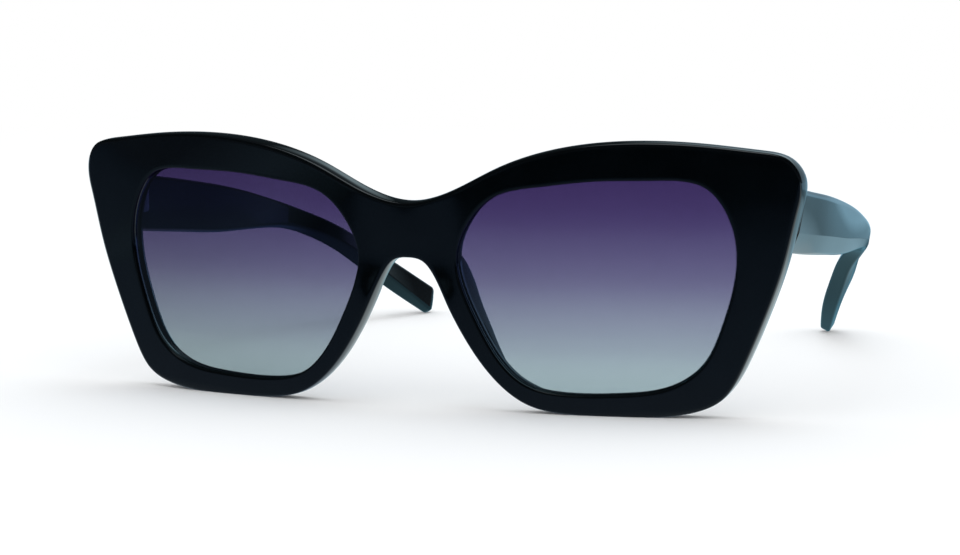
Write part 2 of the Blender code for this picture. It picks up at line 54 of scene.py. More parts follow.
SIDES = (("left", -1), ("right", 1))

# Front: right half of its outline, right lens opening, and its edges
FACE_RADIUS = 237.0
FRONT_THICK = 4.6
EDGE_ROUND = 0.7
BACK_ROUND = 0.5
OPENING_ROUND = 0.4
BEVEL_DEEP = 1.85        # of the bevel behind each opening
BEVEL_WIDE = 1.3         # its width, away from the nose
OPENING_BACK = 0.25      # and its width beside the nose pads
BEVEL_FROM, BEVEL_TO = 22.0, 34.0   # where, going out, it widens
BEVEL_EASE = 0.12        # easing of the bevel's edge on the back
BEVEL_PARTS = (0, 0.06, 0.5, 0.9)   # where along the bevel it has points
FLARE = 1.4              # how much smaller the face is than the back at the outer sides
FLARE_FROM, FLARE_TO = 44.0, 64.0   # where, going out, the flare starts and is full
OUTLINE = (
    (0, 39.45), (8, 41.25), (17.9, 46.05), (30, 49.8), (43, 51.1), (56, 50.55), (66.6, 49.2),
    (71.95, 47.6), (74.4, 43.95), (73.8, 38.2), (71.55, 28.85), (68.3, 19.3), (64.75, 10.65),
    (60.2, 3.55), (52.6, 0.45), (43, -0.35), (32, 0.0), (23.3, 1.6), (17.05, 6.1),
    (11.75, 13.05), (7.9, 20.15), (4.95, 26.05), (2.75, 28.45), (0, 28.95),
)
OPENING = (
    (56.75, 42.5), (59.7, 38.9), (61.75, 32.5), (61.4, 24.5), (59.2, 16.6), (55.8, 9.6),
    (50.0, 5.5), (41.0, 4.0), (30.0, 3.9), (22.8, 5.6), (17.4, 10.7), (13.65, 17.3),
    (10.8, 24.1), (10.0, 29.6), (12.3, 35.7), (17.2, 40.7), (26.0, 42.85), (36.0, 43.95),
    (47.0, 44.15),
)
OUTLINE_STEPS = 520
OPENING_STEPS = 220
WALL_CROWN = 0.12        # how much the outer wall swells between its edges
WALL_PARTS = (0.12, 0.3, 0.5, 0.7, 0.88)   # where across the wall it has points
HOLD = 0.3               # from a rounded edge to the next points of the flat beside it
EDGE_STEPS = 5           # steps round an edge in front
BACK_STEPS = 4           # and behind
FACE_PITCH = 1.6         # spacing of the points inside a face
ROW_PITCH = 0.87         # spacing of their rows, in pitches
CLEAR = 0.6              # how far they stay from the outlines, in pitches
TINY = 1e-6              # points nearer than this are one point
EASE_PART = 0.3          # share of an easing that the middle of its edge gets
TABLE_DEPTH = 1.0        # depth behind the face at which the rims' lowest points are taken

# Scoop of the bridge: it starts below a low V and fades at the rims and beside the nose
SCOOP_SLOPE = 0.06
SCOOP_POINT = 36.2       # height of the V's point
SCOOP_RISE = 0.9         # slope of its arms
SCOOP_TOP = 41.5         # greatest height of its arms
SCOOP_FROM, SCOOP_TO = 7.5, 11.6    # where, going out, the scoop fades
SCOOP_LOW, SCOOP_FULL = 19.0, 31.0  # and where, going up, it comes in
SCOOP_DEPTH = 2.5        # how far behind the face the scoop is still felt

# Lenses
LENS_FRONT = 0.8
LENS_THICK = 1.8
LENS_GAP = 0.12
GROOVE_DEEP = 0.9
LENS_LIP = 0.5
LENS_BULGE = 0.5
LENS_HOLD = 0.1          # from the lens's edge to the next points of its faces
LENS_MIDDLE = (36.0, 24.0)
LENS_HALF = (27.5, 21.5)
LENS_PITCH = 3.0
GROOVE_EASE = 0.1        # easing of the groove's edges, along the wall
GROOVE_LIP = 0.05        # and into it

# Nose pads: middle of the foot (X, Z), half its width, and its reach
PAD_SINK = 0.4           # how far a pad's foot goes into the rim
PAD_RINGS = 56
PAD_STEPS = 40
PAD_PATH = (
    (6.9, 30.2, 0.9, 0.7), (7.5, 28.4, 1.4, 3.0), (8.2, 26.0, 1.6, 4.9), (9.3, 22.4, 1.6, 6.1),
    (10.3, 19.9, 1.6, 5.6), (11.7, 17.0, 1.6, 4.7), (13.4, 14.0, 1.55, 3.6),
    (15.0, 11.4, 1.4, 2.4), (16.5, 9.3, 1.2, 1.4), (18.0, 7.6, 0.9, 0.5),
)
PAD_SECTION = ((-1.0, 0.0), (-0.9, 0.2), (-0.3, 0.75), (0.15, 0.96), (0.55, 1.0),
               (0.9, 0.88), (1.0, 0.6), (1.0, 0.0))

# Temples: middle of the side view (Y, Z), height, outer face (X), thickness, lean, draft
TEMPLE = (
    (15.6, 35.85, 11.9, 73.0, 3.3, 0, 1.5), (24, 34.25, 11.9, 72.95, 3.55, 0, 1.35),
    (36, 32.1, 11.75, 72.8, 3.9, 0, 0.9), (48, 29.97, 11.3, 72.2, 3.7, 0, 0.45),
    (60, 27.75, 10.65, 71.5, 3.6, 0, 0.1), (72, 25.62, 9.1, 70.9, 3.5, 0, 0),
    (83, 23.47, 7.1, 70.2, 3.4, 1, 0), (92, 21.32, 5.55, 69.3, 3.4, 3, 0),
    (100, 18.3, 4.85, 67.4, 3.5, 8, 0), (108, 13.6, 5.0, 63.7, 3.8, 16, 0),
    (117, 7.2, 5.6, 60.1, 4.1, 20, 0), (126, 1.2, 6.2, 56.5, 4.0, 14, 0),
    (139.4, -6.75, 6.8, 51.6, 2.9, 3, 0),
)
TEMPLE_STATIONS = 150
TEMPLE_GAP = 0.15
TEMPLE_ROUND = 0.7
TOP_ROUND = 1.0
FACET_LINE = -0.17
FACET_DROP = 0.12
FACET_ROUND = 0.5        # rounding of the crease between the two outer facets
UNDER_SLANT = 0.6
TIP_ROUND = 1.8
TIP_STEPS = 8
CORNER_STEPS = 5
TIP_CORE = 0.4           # half the thickness that the tip's end keeps
TIP_SIDES = 0.6          # how much of the tip's rounding its faces get
SLANT_MOST = 0.1         # most that the underside slants, in heights
FACET_LEAST = 0.5        # lowest height of the lower facet
FLAT_SHARE = 0.45        # most of the foot's width that one rounding takes
SIDE_SHARE = 0.4         # most of a side that a corner's rounding takes
HOLD_SHARE = 0.2         # most that a holding point is off, in roundings
END_EASE = 0.2           # easing of the edge of the temple's front end

# Standing pose
STAND_TILT = radians(3.7)
REST_FLAT = 0.26
HINGE_X = 67.55
HINGE_Z = 36.2
SEAT = 2.0

# Camera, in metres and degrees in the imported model's frame, and millimetres of lens
CAMERA_AT = (0.1743, -0.5034, 0.0767)
CAMERA_TURN = (83.684, -0.027, 20.221)
LENS_LENGTH = 93.484
SENSOR_WIDTH = 36
CLIP_START = 0.01


def spline(points, count, closed=False):
    """Cubic spline through points of any dimension, read at count places."""
    knots = np.array(points, float)
    if closed:
        knots = np.vstack([knots, knots[:1]])
    place = np.r_[0, np.cumsum(np.linalg.norm(np.diff(knots[:, :2], axis=0), axis=1))]
    gap = np.diff(place)
    slope = np.diff(knots, axis=0) / gap[:, None]
    size = len(gap) if closed else len(knots)
    left = np.zeros((size, size))
    right = np.zeros((size, knots.shape[1]))
    for i in range(size):
        if closed or 0 < i < size - 1:
            before, after = gap[i - 1], gap[i % len(gap)]
            left[i, (i - 1) % size] += before
            left[i, i] += 2 * (before + after)
            left[i, (i + 1) % size] += after
            right[i] = 6 * (slope[i % len(gap)] - slope[i - 1])
        else:
            left[i, i] = 1
    bend = np.linalg.solve(left, right)
    if closed:
        bend = np.vstack([bend, bend[:1]])
    read = np.linspace(0, place[-1], count, endpoint=not closed)
    span = np.clip(np.searchsorted(place, read, side="right") - 1, 0, len(gap) - 1)
    width = gap[span][:, None]
    a = (place[span + 1] - read)[:, None] / width
    b = 1 - a
    curve = a * knots[span] + b * knots[span + 1]
    return curve + ((a**3 - a) * bend[span] + (b**3 - b) * bend[span + 1]) * width**2 / 6


def offset(loop, amount):
    """A closed clockwise loop, grown by an amount."""
    along = np.roll(loop, -1, axis=0) - np.roll(loop, 1, axis=0)
    along /= np.linalg.norm(along, axis=1)[:, None]
    return loop + np.c_[amount * -along[:, 1], amount * along[:, 0]]


def on_face(points, depth):
    """Points (X, Z) carried to a depth behind the curved face."""
    x, z = np.asarray(points, float).T
    turn = np.arctan(x / FACE_RADIUS)
    return np.c_[x - depth * np.sin(turn), x**2 / (2 * FACE_RADIUS) + depth * np.cos(turn), z]


def ease(x, start, end):
    """A smooth rise from 0 where |x| is at start to 1 where it is at end."""
    t = np.clip((np.abs(x) - start) / (end - start), 0, 1)
    return t * t * (3 - 2 * t)


def flare(loop):
    """What the face's outline loses against the back's, on edges that face sideways."""
    along = np.roll(loop, -1, axis=0) - np.roll(loop, 1, axis=0)
    sideways = along[:, 1] ** 2 / np.sum(along**2, axis=1)
    return FLARE * sideways * ease(loop[:, 0], FLARE_FROM, FLARE_TO)


def front_skin(points, depth):
    """Points (X, Z) carried to a depth behind the face of the front, with its scoop."""
    points = np.asarray(points, float)
    x, z = np.abs(points[:, 0]), points[:, 1]
    top = np.minimum(SCOOP_POINT + SCOOP_RISE * x, SCOOP_TOP)
    amount = (1 - ease(x, SCOOP_FROM, SCOOP_TO)) * ease(z, SCOOP_LOW, SCOOP_FULL)
    amount *= max(0, 1 - depth / SCOOP_DEPTH)
    return on_face(points, depth + SCOOP_SLOPE * np.maximum(0, top - z) * amount)


def whole_outline():
    mirrored = [(-x, z) for x, z in OUTLINE[-2:0:-1]]
    return spline(list(OUTLINE) + mirrored, OUTLINE_STEPS, closed=True)


def above_table(points):
    return points[:, 2] * cos(STAND_TILT) + points[:, 1] * sin(STAND_TILT)


def worn_flat(points, table):
    """The points, with any below the table's plane lifted onto it."""
    below = np.maximum(0, table - above_table(points))
    return points + below[:, None] * np.array([0, sin(STAND_TILT), cos(STAND_TILT)])


outline = whole_outline()
opening = spline(OPENING, OPENING_STEPS, closed=True)
TABLE = above_table(on_face(outline, TABLE_DEPTH)).min() + REST_FLAT
hinge_depth = FRONT_THICK + SEAT
hinge_foot = HINGE_X + hinge_depth * sin(atan(HINGE_X / FACE_RADIUS))
PIVOT = np.append(on_face([(hinge_foot, HINGE_Z)], hinge_depth)[0, :2], HINGE_Z)
TIP = Matrix.Rotation(STAND_TILT, 4, "X")
joint = next(j for j in frame["joints"] if j["name"] == "fold_right")
STAND = Matrix.Translation(Vector(joint["pos_m"]) - TIP @ Vector(PIVOT * MM)) @ TIP


class Shape:
    """A mesh under construction, in millimetres in the front's frame."""

    def __init__(self):
        self.points, self.faces = [], []

    def ring(self, points):
        start = len(self.points)
        self.points.extend(map(tuple, points))
        return list(range(start, len(self.points)))

    def join(self, rings):
        for ring, following in zip(rings, rings[1:]):
            for i in range(len(ring)):
                j = (i + 1) % len(ring)
                self.faces.append((ring[i], ring[j], following[j], following[i]))

    def panel(self, rings, loops, lift, pitch):
        """A face of small triangles between an outer ring and inner rings, whose flat
        outlines are loops; lift carries its flat inner points into space."""
        flat = np.vstack(loops)
        low, high = loops[0].min(axis=0), loops[0].max(axis=0)
        rows = np.arange(low[1], high[1], pitch * ROW_PITCH)
        grid = np.array([(x + (k % 2) * pitch / 2, z) for k, z in enumerate(rows)
                         for x in np.arange(low[0], high[0], pitch)])
        grid = grid[within(grid, loops)]
        nearest = np.array([np.min(np.sum((flat - g) ** 2, axis=1)) for g in grid])
        grid = grid[nearest > (CLEAR * pitch) ** 2]
        known = [i for ring in rings for i in ring]
        known += self.ring(lift(grid))
        edges, start = [], 0
        for ring in rings:
            size = len(ring)
            edges += [(start + i, start + (i + 1) % size) for i in range(size)]
            start += size
        spots = [Vector(p) for p in np.vstack([flat, grid])]
        found, _, faces, origin, _, _ = delaunay_2d_cdt(spots, edges, [], 0, TINY)
        found = np.array([tuple(p) for p in found])
        middles = np.array([found[list(face)].mean(axis=0) for face in faces])
        for face, keep in zip(faces, within(middles, loops)):
            if keep:
                self.faces.append(tuple(known[origin[i][0]] for i in face))

    def finish(self, name, material, body, replaced, side=1, table=None):
        """The object: mirrored for the left side, placed, smooth, and riding on its body."""
        points = np.array(self.points, float)
        if table is not None:
            points = worn_flat(points, table)
        points[:, 0] *= side
        mesh = bpy.data.meshes.new(name)
        mesh.from_pydata((points * MM).tolist(), [], self.faces)
        mesh.transform(STAND)
        made = bpy.data.objects.new(name, mesh)
        bpy.context.collection.objects.link(made)
        outward(mesh)
        mesh.shade_smooth()
        mesh.materials.append(material)
        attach(made, body)
        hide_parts(replaced)
        return made


def within(points, loops):
    """Whether each flat point is inside the first loop and outside the others."""
    result = np.ones(len(points), bool)
    for k, loop in enumerate(loops):
        ahead = np.roll(loop, -1, axis=0)
        x, z = points[:, 0][:, None], points[:, 1][:, None]
        crosses = (loop[:, 1] > z) != (ahead[:, 1] > z)
        rise = np.where(ahead[:, 1] == loop[:, 1], 1, ahead[:, 1] - loop[:, 1])
        at = loop[:, 0] + (z - loop[:, 1]) / rise * (ahead[:, 0] - loop[:, 0])
        odd = np.sum(crosses & (x < at), axis=1) % 2 == 1
        result &= odd if k == 0 else ~odd
    return result


def outward(mesh):
    """Turn every face of a closed mesh outwards."""
    builder = bmesh.new()
    builder.from_mesh(mesh)
    bmesh.ops.recalc_face_normals(builder, faces=builder.faces[:])
    if builder.calc_volume(signed=True) < 0:
        bmesh.ops.reverse_faces(builder, faces=builder.faces[:])
    builder.to_mesh(mesh)
    builder.free()


def arc(start, end, bulge, steps):
    """Points of a quarter turn from start to end, round the corner bulge."""
    start, end, bulge = (np.array(p, float) for p in (start, end, bulge))
    turns = [i * pi / 2 / steps for i in range(steps + 1)]
    return [tuple(bulge + (start - bulge) * (1 - sin(t)) + (end - bulge) * (1 - cos(t)))
            for t in turns]


# ---------------------------------------------------------------- materials

def linear(*colour):
    """A colour of 0 to 255, as seen on a screen, in linear light."""
    return tuple(c / 12.92 if c <= 0.04045 else ((c + 0.055) / 1.055) ** 2.4
                 for c in (v / 255 for v in colour))


class Nodes:
    """A material's node tree, with short calls to add and link nodes."""

    def __init__(self, owner):
        owner.use_nodes = True
        self.tree = owner.node_tree
        self.tree.nodes.clear()

    def add(self, kind, **settings):
        node = self.tree.nodes.new(kind)
        for name, value in settings.items():
            if hasattr(node, name):
                setattr(node, name, value)
            else:
                node.inputs[name.replace("_", " ")].default_value = value
        return node

    def link(self, output, target):
        self.tree.links.new(output, target)

    def place(self):
        return self.add("ShaderNodeTexCoord").outputs["Object"]

    def noise(self, vector, scale, detail=2.0, rough=0.5):
        node = self.add("ShaderNodeTexNoise")
        node.inputs["Scale"].default_value = scale
        node.inputs["Detail"].default_value = detail
        node.inputs["Roughness"].default_value = rough
        self.link(vector, node.inputs["Vector"])
        return node.outputs["Fac"]

    def spread(self, value, low, high, new_low, new_high):
        node = self.add("ShaderNodeMapRange")
        for name, number in (("From Min", low), ("From Max", high),
                             ("To Min", new_low), ("To Max", new_high)):
            node.inputs[name].default_value = number
        self.link(value, node.inputs["Value"])
        return node.outputs["Result"]

    def ramp(self, value, stops, interpolation="LINEAR"):
        node = self.add("ShaderNodeValToRGB")
        node.color_ramp.interpolation = interpolation
        elements = node.color_ramp.elements
        elements[0].position, elements[0].color = stops[0][0], (*stops[0][1], 1)
        elements[1].position, elements[1].color = stops[-1][0], (*stops[-1][1], 1)
        for position, colour in stops[1:-1]:
            elements.new(position).color = (*colour, 1)
        self.link(value, node.inputs["Fac"])
        return node.outputs["Color"]

    def bump(self, height, strength, distance):
        node = self.add("ShaderNodeBump")
        node.inputs["Strength"].default_value = strength
        node.inputs["Distance"].default_value = distance
        self.link(height, node.inputs["Height"])
        return node.outputs["Normal"]

    def output(self, shader, kind="ShaderNodeOutputMaterial"):
        self.link(shader, self.add(kind).inputs["Surface"])


# Noise scales are per metre, and bump heights in metres.
ACETATE_IOR = 1.48
ACETATE_COLOURS = ((0.3, (0.0003, 0.0006, 0.0009)), (0.7, (0.0006, 0.0011, 0.0016)))
CLOUD_SCALE = 160        # of its faint changes of colour
WAVE_SCALE = 70          # of the waviness
WAVE_BUMP = (0.35, 0.00012)         # strength and height
GRAIN_SCALE = 2500       # of the changes of gloss
GRAIN_ROUGH = (0.3, 0.75, 0.035, 0.075)   # noise from and to, roughness from and to


def acetate(name):
    """Polished black acetate: near black, with a slight waviness left by the polishing
    and fine changes of gloss."""
    material = bpy.data.materials.new(name)
    nodes = Nodes(material)
    place = nodes.place()
    shader = nodes.add("ShaderNodeBsdfPrincipled")
    shader.inputs["IOR"].default_value = ACETATE_IOR
    waves = nodes.noise(place, WAVE_SCALE, 1.0)
    grain = nodes.noise(place, GRAIN_SCALE, 3.0, 0.6)
    clouds = nodes.noise(place, CLOUD_SCALE, 3.0)
    nodes.link(nodes.ramp(clouds, ACETATE_COLOURS), shader.inputs["Base Color"])
    nodes.link(nodes.spread(grain, *GRAIN_ROUGH), shader.inputs["Roughness"])
    nodes.link(nodes.bump(waves, *WAVE_BUMP), shader.inputs["Normal"])
    nodes.output(shader.outputs[0])
    return material


LENS_COLOURS = (         # height in the front's frame, and the colour over white
    (3.0, (168, 188, 191)), (11.5, (151, 165, 175)), (23.0, (111, 112, 139)),
    (34.5, (78, 70, 109)), (45.0, (61, 49, 91)),
)
LENS_SHINE = 0.04
LENS_ADDED = 0.006       # light that the lens's gloss adds to those colours
LENS_DARKEST = 0.001     # least light that the tint lets through
LENS_ROUGH = 0.02
SLANT_TINT = (0.01, 0.3, 1.0, 0.8)   # looked at aslant, more tint: facing and its factor
SHINE_POWER = 5          # how the gloss grows towards a grazing look
WOBBLE_SCALE = 40        # unevenness of the tint's height, in metres
WOBBLE = 0.0004


def lens_tint(name):
    """Clear lens with a tint that fades from violet grey to pale blue grey.  Each of its
    two faces takes half of the tint, as the square root of what both let through."""
    material = bpy.data.materials.new(name)
    nodes = Nodes(material)
    place = nodes.place()
    split = nodes.add("ShaderNodeSeparateXYZ")
    nodes.link(place, split.inputs[0])
    wobble = nodes.spread(nodes.noise(place, WOBBLE_SCALE, 1.0), 0, 1, -WOBBLE, WOBBLE)
    height = nodes.add("ShaderNodeMath", operation="ADD")
    nodes.link(split.outputs["Z"], height.inputs[0])
    nodes.link(wobble, height.inputs[1])
    low, high = LENS_COLOURS[0][0], LENS_COLOURS[-1][0]
    middle_y = on_face([LENS_MIDDLE], LENS_FRONT)[0, 1]
    ends = [(STAND @ Vector((0, middle_y * MM, z * MM))).z for z in (low, high)]
    stops = []
    for z, colour in LENS_COLOURS:
        through = [max(c - LENS_ADDED, LENS_DARKEST) / (1 - LENS_SHINE) ** 2
                   for c in linear(*colour)]
        stops.append(((z - low) / (high - low), tuple(c**0.5 for c in through)))
    tint = nodes.ramp(nodes.spread(height.outputs[0], ends[0], ends[1], 0, 1), stops, "CARDINAL")
    facing = nodes.add("ShaderNodeLayerWeight")
    facing.inputs["Blend"].default_value = 0.5
    longer = nodes.spread(facing.outputs["Facing"], *SLANT_TINT)
    deeper = nodes.add("ShaderNodeMix", data_type="RGBA", blend_type="MULTIPLY")
    deeper.inputs[0].default_value = 1.0
    nodes.link(tint, deeper.inputs[6])
    nodes.link(longer, deeper.inputs[7])
    clear = nodes.add("ShaderNodeBsdfTransparent")
    nodes.link(deeper.outputs[2], clear.inputs["Color"])
    gloss = nodes.add("ShaderNodeBsdfGlossy")
    gloss.inputs["Roughness"].default_value = LENS_ROUGH
    power = nodes.add("ShaderNodeMath", operation="POWER")
    power.inputs[1].default_value = SHINE_POWER
    nodes.link(facing.outputs["Facing"], power.inputs[0])
    share = nodes.spread(power.outputs[0], 0, 1, LENS_SHINE, 1)
    mix = nodes.add("ShaderNodeMixShader")
    nodes.link(share, mix.inputs[0])
    nodes.link(clear.outputs[0], mix.inputs[1])
    nodes.link(gloss.outputs[0], mix.inputs[2])
    nodes.output(mix.outputs[0])
    return material


STREAK_SCALE = 1500
STREAK_BUMP = (0.25, 0.00004)       # strength and height
PATCH_SCALE = 300
PATCH_DARK = 0.75        # colour of the darker patches, in parts of the colour
ROUGH_LOW, ROUGH_HIGH = 0.7, 1.3   # spread of the roughness, in parts of it
SATIN = ((0.56, 0.56, 0.55), 0.3, 0.1)   # colour, roughness, and stretch of its streaks
BRIGHT = ((0.78, 0.78, 0.76), 0.14, 1.0)


def steel(name, colour, rough, streak):
    """Metal with fine streaks across it and small changes of polish."""
    material = bpy.data.materials.new(name)
    nodes = Nodes(material)
    mapping = nodes.add("ShaderNodeMapping")
    mapping.inputs["Scale"].default_value = (1, 1, streak)
    nodes.link(nodes.place(), mapping.inputs["Vector"])
    streaks = nodes.noise(mapping.outputs[0], STREAK_SCALE, 3.0, 0.6)
    patches = nodes.noise(mapping.outputs[0], PATCH_SCALE, 2.0)
    shader = nodes.add("ShaderNodeBsdfPrincipled")
    shader.inputs["Metallic"].default_value = 1.0
    dark = tuple(c * PATCH_DARK for c in colour)
    nodes.link(nodes.ramp(patches, ((0.3, dark), (0.7, colour))), shader.inputs["Base Color"])
    nodes.link(nodes.spread(streaks, 0.3, 0.7, rough * ROUGH_LOW, rough * ROUGH_HIGH),
               shader.inputs["Roughness"])
    nodes.link(nodes.bump(streaks, *STREAK_BUMP), shader.inputs["Normal"])
    nodes.output(shader.outputs[0])
    return material


# ---------------------------------------------------------------- pieces

def make_front(material):
    shape = Shape()
    back = FRONT_THICK
    wall_end = back - BACK_ROUND
    profile = [(0, -EDGE_ROUND - HOLD)]
    profile += arc((0, -EDGE_ROUND), (EDGE_ROUND, 0), (0, 0), EDGE_STEPS)
    for t in WALL_PARTS:
        profile.append((EDGE_ROUND + t * (wall_end - EDGE_ROUND), WALL_CROWN * sin(pi * t)))
    profile += arc((wall_end, 0), (back, -BACK_ROUND), (back, 0), BACK_STEPS)
    profile.append((back, -BACK_ROUND - HOLD))
    rings, loops = [], []
    for depth, grow in profile:
        slant = flare(outline) * (1 - min(depth / wall_end, 1))
        loops.append(offset(outline, grow - slant))
        rings.append(shape.ring(front_skin(loops[-1], depth)))
    shape.join(rings)
    groove = LENS_FRONT + LENS_THICK / 2
    groove_start, groove_end = groove - GROOVE_DEEP, groove + GROOVE_DEEP
    bevel = OPENING_BACK + (BEVEL_WIDE - OPENING_BACK) * ease(opening[:, 0], BEVEL_FROM, BEVEL_TO)
    inner = [(0, OPENING_ROUND + HOLD)]
    inner += arc((0, OPENING_ROUND), (OPENING_ROUND, 0), (0, 0), EDGE_STEPS)
    inner += [(groove_start - GROOVE_EASE, 0), (groove_start, GROOVE_LIP), (groove, GROOVE_DEEP),
              (groove_end, GROOVE_LIP), (groove_end + GROOVE_EASE, 0)]
    inner += [(back - BEVEL_DEEP * (1 - part), bevel * part) for part in BEVEL_PARTS]
    inner += [(back - BEVEL_EASE, bevel - BEVEL_EASE * EASE_PART), (back, bevel + BEVEL_EASE),
              (back, bevel + HOLD)]
    faces, backs = ([rings[0]], [loops[0]]), ([rings[-1]], [loops[-1]])
    for _, side in SIDES:
        holes, flats = [], []
        for depth, grow in inner:
            loop = offset(opening, grow) * np.array([side, 1])
            flats.append(loop)
            holes.append(shape.ring(front_skin(loop, depth)))
        shape.join(holes)
        for (found, outlines), end in ((faces, 0), (backs, -1)):
            found.append(holes[end])
            outlines.append(flats[end])
    shape.panel(*faces, lambda grid: front_skin(grid, 0), FACE_PITCH)
    shape.panel(*backs, lambda grid: on_face(grid, back), FACE_PITCH)
    return shape.finish("front", material, "front", "front_frame", table=TABLE)


def lens_face(grid, depth):
    """A lens surface: the face's own curve, with a slight bulge in the middle."""
    reach = ((np.asarray(grid) - LENS_MIDDLE) / LENS_HALF) ** 2
    bulge = LENS_BULGE * np.maximum(0, 1 - reach.sum(axis=1)) ** 2
    return on_face(grid, depth - bulge)


def make_lens(name, side, material):
    shape = Shape()
    middle, back = LENS_FRONT + LENS_THICK / 2, LENS_FRONT + LENS_THICK
    rings, loops = [], []
    for depth, grow in ((LENS_FRONT, -LENS_GAP - LENS_HOLD), (LENS_FRONT, -LENS_GAP),
                        (middle - LENS_LIP, -LENS_GAP), (middle, LENS_LIP),
                        (middle + LENS_LIP, -LENS_GAP), (back, -LENS_GAP),
                        (back, -LENS_GAP - LENS_HOLD)):
        loops.append(offset(opening, grow))
        rings.append(shape.ring(lens_face(loops[-1], depth)))
    shape.join(rings)
    shape.panel([rings[0]], [loops[0]], lambda grid: lens_face(grid, LENS_FRONT), LENS_PITCH)
    shape.panel([rings[-1]], [loops[-1]], lambda grid: lens_face(grid, back), LENS_PITCH)
    return shape.finish(name + "_glazing", material, "front", name, side)


def make_pad(name, side, material):
    """A pad, its foot sunk into the back of the rim."""
    shape = Shape()
    path = spline(PAD_PATH, PAD_RINGS)
    along = np.gradient(path[:, :2], axis=0)
    section = spline(PAD_SECTION, PAD_STEPS)
    rings = []
    for (x, z, half, reach), step in zip(path, along):
        step = step / hypot(*step)
        across = np.array([-step[1], step[0]])
        spots = np.array([(x, z)]) + section[:, :1] * half * across
        depth = FRONT_THICK - PAD_SINK + (reach + PAD_SINK) * section[:, 1]
        rings.append(shape.ring(on_face(spots, depth)))
    shape.join(rings)
    shape.faces += [tuple(rings[0]), tuple(rings[-1])]
    return shape.finish(name + "_shell", material, "front", name, side)


def rounded(corners):
    """A closed section through corners (height, out, radius), each turned into a curve,
    with holding points on the flats beside it."""
    spots = np.array([c[:2] for c in corners], float)
    result = []
    for i, (corner, (_, _, radius)) in enumerate(zip(spots, corners)):
        before, after = spots[i - 1] - corner, spots[(i + 1) % len(spots)] - corner
        lengths = np.linalg.norm(before), np.linalg.norm(after)
        before, after = before / lengths[0], after / lengths[1]
        half = np.arccos(np.clip(before @ after, -1, 1)) / 2
        reach = min(radius / np.tan(half), SIDE_SHARE * min(lengths))
        hold = min(HOLD, HOLD_SHARE * reach)
        result.append(corner + before * (reach + hold))
        for t in np.linspace(0, 1, CORNER_STEPS + 1):
            result.append(corner + before * reach * (1 - t) ** 2 + after * reach * t**2)
        result.append(corner + after * (reach + hold))
    return np.array(result)


def temple_section(height, thick, draft, short):
    top, low = height / 2 - short, short - height / 2
    inner_low = low + min(UNDER_SLANT, SLANT_MOST * height)
    near = min(short, thick / 2 - TIP_CORE) * TIP_SIDES
    far = thick - near
    line = max(FACET_LINE * height, low + FACET_LEAST)
    foot = far - draft - FACET_DROP * height
    small = min(TEMPLE_ROUND, FLAT_SHARE * (foot - near))
    return rounded(((inner_low, near, small), (top, near, TEMPLE_ROUND), (top, far, TOP_ROUND),
                    (line, far - draft, FACET_ROUND), (low, foot, small)))


def end_plane(points):
    """Points moved along Y onto the temple's front end face."""
    x = TEMPLE[0][3]
    edge = on_face([(x, 0)], FRONT_THICK)[0]
    moved = points.copy()
    moved[:, 1] = edge[1] + (points[:, 0] - edge[0]) * x / FACE_RADIUS + TEMPLE_GAP
    return moved


def make_temple(name, side, material):
    rows = spline(TEMPLE, TEMPLE_STATIONS)
    length = np.r_[0, np.cumsum(np.linalg.norm(np.diff(rows[:, :2], axis=0), axis=1))]
    last = length[-1]
    turns = [i * pi / 2 / TIP_STEPS for i in range(1, TIP_STEPS + 1)]
    start = last - TIP_ROUND
    read = np.r_[length[length < start - HOLD], start, [start + TIP_ROUND * sin(t) for t in turns]]
    rows = np.column_stack([np.interp(read, length, column) for column in rows.T])
    short = np.r_[np.zeros(len(read) - TIP_STEPS), [TIP_ROUND * (1 - cos(t)) for t in turns]]
    along = np.gradient(rows[:, :2], read, axis=0)
    swing = np.gradient(rows[:, 3], read)
    shape = Shape()
    rings = []
    for i, (row, step, sway, cutback) in enumerate(zip(rows, along, swing, short)):
        y, z, height, outer, thick, lean, draft = row
        step = Vector(step).normalized()
        ahead = Vector((sway, step.x, step.y)).normalized()
        up = Vector((0, -step.y, step.x))
        out = up.cross(ahead).normalized()
        if out.x < 0:
            out = -out
        lean = radians(lean)
        tipped = up * cos(lean) + out * sin(lean)
        outside = out * cos(lean) - up * sin(lean)
        centre = Vector((outer, y, z)) - outside * thick
        section = temple_section(height, thick, draft, cutback)
        ring = np.array(centre) + section[:, :1] * np.array(tipped)
        ring += section[:, 1:] * np.array(outside)
        if i == 0:
            edge = end_plane(ring)
            middle = edge.mean(axis=0)
            spoke = middle - edge
            spoke /= np.linalg.norm(spoke, axis=1)[:, None]
            for inwards, back in ((2, 0), (1, 0), (EASE_PART, EASE_PART), (0, 1), (0, 2)):
                eased = edge + spoke * END_EASE * inwards + np.array([0, END_EASE * back, 0])
                rings.append(shape.ring(eased))
        else:
            rings.append(shape.ring(ring))
    shape.join(rings)
    shape.faces += [tuple(rings[0]), tuple(rings[-1])]
    return shape.finish(name + "_arm", material, name, name, side, TABLE)


# ---------------------------------------------------------------- stage

FLOOR_HALF = 6.0
FLOOR_COLOUR = (0.86, 0.87, 0.88, 1)
FADE_FROM, FADE_TO = 0.2, 1.0   # distance over which the floor turns white
FLOOR_LIGHT = 1.13       # the world's light on the floor, against what the camera sees

